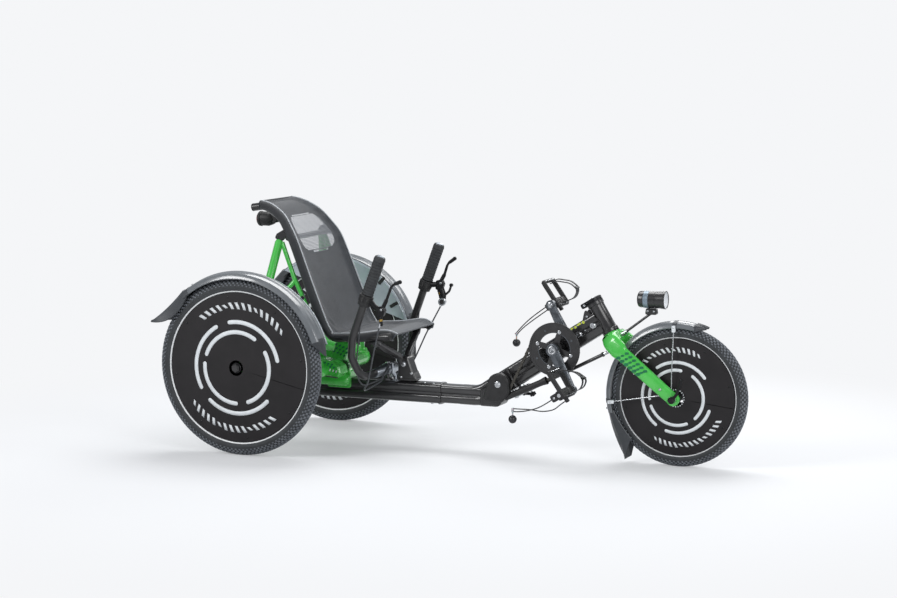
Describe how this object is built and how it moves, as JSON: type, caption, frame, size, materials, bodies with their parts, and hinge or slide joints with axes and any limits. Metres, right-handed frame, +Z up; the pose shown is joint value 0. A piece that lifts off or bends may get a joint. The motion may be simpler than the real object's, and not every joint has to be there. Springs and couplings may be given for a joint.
{
  "type": "recumbent trike",
  "caption": "Pedalled recumbent tricycle with a sling seat, under-seat steering, one steered front wheel and two covered rear wheels.",
  "frame": {"origin": "on the floor, at the middle of the overall length and width", "axes": "+X forwards, +Y to the rider's left, +Z up"},
  "size_m": [1.6684, 0.69, 0.7056],
  "materials": {
    "green_paint": "gloss",
    "black_metal": "satin",
    "slide_metal": "satin",
    "bright_metal": "satin",
    "crank_metal": "satin",
    "chain_steel": "oiled",
    "black_plastic": "matt",
    "cover_plastic": "satin",
    "guard_plastic": "satin",
    "panel_plastic": "satin",
    "tyre_rubber": "matt",
    "grip_rubber": "matt",
    "seat_cloth": "woven",
    "cord": "braided",
    "lamp_lens": "clear"
  },
  "bodies": {
    "frame": {"rear_beam": "black_metal", "front_beam": "slide_metal", "elbow": "black_metal", "idler_case": "black_plastic", "front_boom": "black_metal", "head_tube": "black_metal", "bottom_bracket": "black_metal", "rear_yoke": "green_paint", "seat_stays_right": "green_paint", "seat_stays_left": "green_paint", "seat_frame": "black_metal", "seat_back": "seat_cloth", "seat_base": "seat_cloth", "seat_cradle": "black_metal", "rear_lamp": "lamp_lens", "rear_mudguard_right": "guard_plastic", "rear_mudguard_left": "guard_plastic", "guard_panel_right": "panel_plastic", "guard_panel_left": "panel_plastic", "guard_bars": "black_metal", "chain": "chain_steel", "chain_tube": "black_plastic"},
    "fork": {"fork": "black_metal", "steering_cap": "black_plastic", "front_axle": "bright_metal", "front_mudguard": "guard_plastic", "guard_wires": "bright_metal", "headlight": "black_plastic"},
    "front_wheel": {"front_tyre": "tyre_rubber", "front_wheel": "cover_plastic"},
    "rear_wheel_right": {"rear_tyre_right": "tyre_rubber", "rear_wheel_right": "cover_plastic"},
    "rear_wheel_left": {"rear_tyre_left": "tyre_rubber", "rear_wheel_left": "cover_plastic", "rear_axle": "bright_metal"},
    "crankset": {"chainring": "crank_metal", "crank_right": "crank_metal", "crank_left": "crank_metal"},
    "pedal_right": {"pedal_right": "black_plastic", "foot_strap_right": "black_plastic", "pull_cord_right": "cord", "pull_ball_right": "black_plastic"},
    "pedal_left": {"pedal_left": "black_plastic", "foot_strap_left": "black_plastic", "pull_cord_left": "cord", "pull_ball_left": "black_plastic"},
    "handlebar": {"handlebar": "black_metal", "handlebar_stem": "bright_metal", "handgrips": "grip_rubber", "brake_levers": "black_plastic", "control_cables": "black_plastic"},
    "bell_crank": {"bell_crank": "black_metal"},
    "front_rod": {"front_steering_rod": "bright_metal"},
    "rod_end": {"rod_end": "bright_metal"},
    "rear_rod": {"rear_steering_rod": "bright_metal"}
  },
  "joints": [
    {"name": "steering", "type": "hinge", "parent": "frame", "child": "fork", "pos_m": [0.4439, 0, 0.36092], "axis": [-0.515, 0, 0.8572], "range_deg": [-30, 30]},
    {"name": "front_rod_turn", "type": "hinge", "parent": "fork", "child": "front_rod", "pos_m": [0.45557, -0.032, 0.31432], "axis": [-0.515, 0, 0.8572], "range_deg": [-30, 30]},
    {"name": "bell_crank_turn", "type": "hinge", "parent": "frame", "child": "bell_crank", "pos_m": [0.18424, 0, 0.18793], "axis": [-0.515, 0, 0.8572], "range_deg": [-30, 30]},
    {"name": "handlebar_turn", "type": "hinge", "parent": "frame", "child": "handlebar", "pos_m": [-0.23222, 0, 0.219], "axis": [0, 0, 1], "range_deg": [-26, 26]},
    {"name": "rod_end_turn", "type": "hinge", "parent": "handlebar", "child": "rod_end", "pos_m": [-0.23222, 0.046, 0.166], "axis": [0, 0, 1], "range_deg": [-26, 26]},
    {"name": "rear_rod_pitch", "type": "hinge", "parent": "rod_end", "child": "rear_rod", "pos_m": [-0.23222, 0.046, 0.166], "axis": [0, 1, 0], "range_deg": [-2, 2]},
    {"name": "front_wheel_spin", "type": "hinge", "parent": "fork", "child": "front_wheel", "pos_m": [0.64078, 0, 0.19345], "axis": [0, 1, 0], "continuous": true},
    {"name": "rear_wheel_right_spin", "type": "hinge", "parent": "frame", "child": "rear_wheel_right", "pos_m": [-0.54422, -0.311, 0.25], "axis": [0, 1, 0], "continuous": true},
    {"name": "rear_wheel_left_spin", "type": "hinge", "parent": "frame", "child": "rear_wheel_left", "pos_m": [-0.54422, 0.311, 0.25], "axis": [0, 1, 0], "continuous": true},
    {"name": "crank_spin", "type": "hinge", "parent": "frame", "child": "crankset", "pos_m": [0.29838, 0, 0.31166], "axis": [0, 1, 0], "continuous": true},
    {"name": "pedal_right_spin", "type": "hinge", "parent": "crankset", "child": "pedal_right", "pos_m": [0.35565, -0.08, 0.20394], "axis": [0, 1, 0], "continuous": true},
    {"name": "pedal_left_spin", "type": "hinge", "parent": "crankset", "child": "pedal_left", "pos_m": [0.2411, 0.08, 0.41938], "axis": [0, 1, 0], "continuous": true}
  ],
  "couplings": [
    {"joint": "front_rod_turn", "follows": "steering", "ratio": -1},
    {"joint": "bell_crank_turn", "follows": "steering", "ratio": 1},
    {"joint": "handlebar_turn", "follows": "steering", "ratio": 0.8572},
    {"joint": "rod_end_turn", "follows": "steering", "ratio": -0.8572},
    {"joint": "rear_rod_pitch", "follows": "steering", "ratio": 0.0551}
  ]
}
